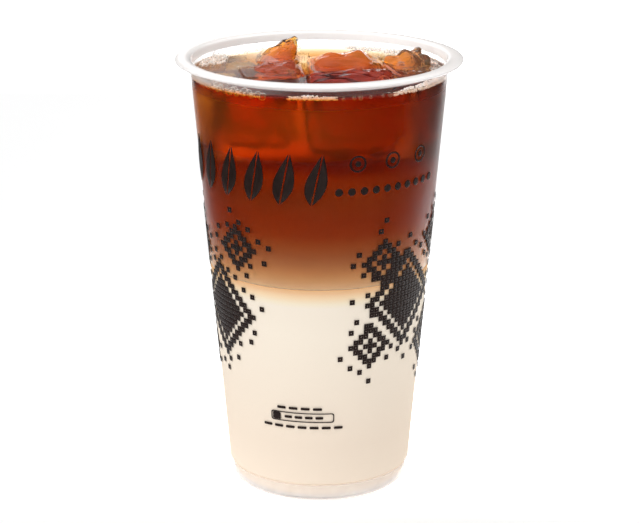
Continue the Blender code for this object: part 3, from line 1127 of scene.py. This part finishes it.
def lit_table(settings):
    """White acrylic sheet, lit from underneath behind the cup and to its right, between dark boards.

    It gives a floor that stays white right up to the cup, with hardly any shadow, lights the
    drink from behind, and leaves the sides of the wall clear of pale reflections.
    """
    stuff, add = new_material("white acrylic")
    place = add("TexCoord").outputs["Object"]
    grain = add("TexNoise", {"Vector": place, "Scale": SHEET_MOTTLE, "Detail": 2.0})
    rough = add("MapRange", {"Value": grain, "To Min": 0.55, "To Max": 0.65})
    split = add("SeparateXYZ", {"Vector": place})
    back = add("Math", {"operation": "ADD", 0: split.outputs["Y"], 1: -GLOW_START})
    rear = add("ValToRGB", {"Fac": back}, [(y - GLOW_START, [glow] * 3) for y, glow in REAR_GLOW])
    middle = add("Math", {"operation": "SUBTRACT", 0: split.outputs["X"], 1: SHEET_MIDDLE})
    across = add("Math", {"operation": "ABSOLUTE", 0: middle})
    aside = add("Math", {"operation": "MULTIPLY_ADD", 0: split.outputs["Y"], 1: -SHEET_SPREAD, 2: across})
    sheet = add("MapRange", {
        "interpolation_type": "SMOOTHSTEP", "Value": aside, "From Min": SHEET_FADE[0],
        "From Max": SHEET_FADE[1], "To Min": 1.0, "To Max": 0.06,
    })
    right = add("MapRange", {
        "interpolation_type": "SMOOTHSTEP", "Value": split.outputs["X"], "From Min": -0.20,
        "From Max": 0.20, "To Min": 0.2, "To Max": 1.8,
    })
    behind = add("Math", {"operation": "MULTIPLY", 0: rear, 1: right})
    glow = add("Math", {"operation": "MULTIPLY", 0: behind, 1: sheet})
    tone = add("VectorMath", {"operation": "SCALE", 0: tuple(settings.floor), "Scale": sheet})
    shader = add("BsdfPrincipled", {
        "Base Color": tone, "Roughness": rough, "Specular IOR Level": 0.1,
        "Emission Color": (1.0, 1.0, 1.0, 1.0), "Emission Strength": glow,
    })
    add("OutputMaterial", {"Surface": shader})
    return stuff


def soft_surround(settings):
    """Even light from all round, brightest from high at the front left.

    Low in the sky behind the cup a white panel between dark boards takes its place, which draws
    the sides of the cup and shines in the tea.
    """
    world = bpy.data.worlds.new("soft surround")
    world.use_nodes = True
    world.node_tree.nodes.clear()
    add = partial(add_node, world.node_tree)
    towards = add("TexCoord").outputs["Generated"]
    facing = add("VectorMath", {"operation": "DOT_PRODUCT", 0: towards, 1: SKY_BRIGHT})
    fall = add("MapRange", {
        "interpolation_type": "SMOOTHSTEP", "Value": facing.outputs["Value"], "From Min": 0.0,
        "From Max": 0.95, "To Min": settings.sky * 0.4, "To Max": settings.sky * 1.7,
    })
    low = add("VectorMath", {"operation": "DOT_PRODUCT", 0: towards, 1: SKY_BOARDS})
    screen = add("MapRange", {
        "interpolation_type": "SMOOTHSTEP", "Value": low.outputs["Value"], "From Min": -0.20,
        "From Max": 0.15,
    })
    split = add("SeparateXYZ", {"Vector": towards})
    across = add("Math", {"operation": "ADD", 0: split.outputs["X"], 1: -PANEL_START})
    lights = [(x - PANEL_START, [light] * 3) for x, light in BACK_PANEL]
    panel = add("ValToRGB", {"Fac": across}, lights)
    strength = add("Mix", {"Factor": screen, "A": fall, "B": panel})
    light = add("Background", {"Color": (1.0, 1.0, 1.0, 1.0), "Strength": strength})
    add("OutputWorld", {"Surface": light})
    return world


class ICEDTEA_OT_studio(Operator):
    """Make the floor, the lights and the camera"""

    bl_idname = "iced_tea.studio"
    bl_label = "Studio"

    def execute(self, context):
        settings = context.scene.iced_tea.studio
        scene = context.scene
        floor_mesh = bpy.data.meshes.new("floor")
        near, far = -FLOOR_REACH, FLOOR_REACH
        corners = [(near, near, 0), (far, near, 0), (far, far, 0), (near, far, 0)]
        floor_mesh.from_pydata(corners, [], [(0, 1, 2, 3)])
        floor_mesh.materials.append(lit_table(settings))
        floor = add_object("floor", floor_mesh)
        scene.world = soft_surround(settings)

        key_light = bpy.data.lights.new("key", "AREA")
        key_light.energy = settings.key
        key_light.size = KEY_SIZE
        key = add_object("key", key_light)
        key.location = KEY_PLACE
        key.rotation_euler = (Vector(KEY_AIM) - Vector(KEY_PLACE)).to_track_quat("-Z", "Y").to_euler()

        camera_data = bpy.data.cameras.new("camera")
        camera_data.lens = CAMERA_LENS
        camera_data.sensor_width = 36.0
        camera_data.shift_x = CAMERA_SHIFT
        camera = add_object("camera", camera_data)
        camera.location = CAMERA_PLACE
        camera.rotation_euler = (math.pi / 2 - CAMERA_DIP, 0.0, 0.0)
        scene.camera = camera
        scene.view_settings.view_transform = "Standard"
        scene.cycles.max_bounces = LIGHT_BOUNCES
        scene.cycles.transmission_bounces = LIGHT_BOUNCES
        scene.cycles.transparent_max_bounces = LIGHT_BOUNCES
        return {"FINISHED"}


class ICEDTEA_PT_panel(Panel):
    """Sidebar panel with the settings and a button for each step"""

    bl_idname = "ICEDTEA_PT_panel"
    bl_label = "Iced Milk Tea"
    bl_space_type = "VIEW_3D"
    bl_region_type = "UI"
    bl_category = "Iced Tea"

    def draw(self, context):
        settings = context.scene.iced_tea
        for operator in OPERATORS:
            self.layout.operator(operator.bl_idname)
        for part in IcedTeaSettings.__annotations__:
            group = getattr(settings, part)
            box = self.layout.box()
            for name in group.__annotations__:
                box.prop(group, name)


GROUPS = (CupSettings, DrinkSettings, IceSettings, BubbleSettings, PrintSettings, StudioSettings)
OPERATORS = (
    ICEDTEA_OT_cup, ICEDTEA_OT_milk, ICEDTEA_OT_tea, ICEDTEA_OT_ice, ICEDTEA_OT_bubbles,
    ICEDTEA_OT_print, ICEDTEA_OT_studio,
)
CLASSES = (*GROUPS, IcedTeaSettings, *OPERATORS, ICEDTEA_PT_panel)


def register():
    """Registers the classes and hangs the settings on the scene."""
    for kind in CLASSES:
        bpy.utils.register_class(kind)
    bpy.types.Scene.iced_tea = PointerProperty(type=IcedTeaSettings)


def unregister():
    """Takes the settings and the classes away again."""
    del bpy.types.Scene.iced_tea
    for kind in reversed(CLASSES):
        bpy.utils.unregister_class(kind)


def main():
    """Makes every piece in order."""
    register()
    for operator in OPERATORS:
        group, name = operator.bl_idname.split(".")
        getattr(getattr(bpy.ops, group), name)()


if __name__ == "__main__":
    main()
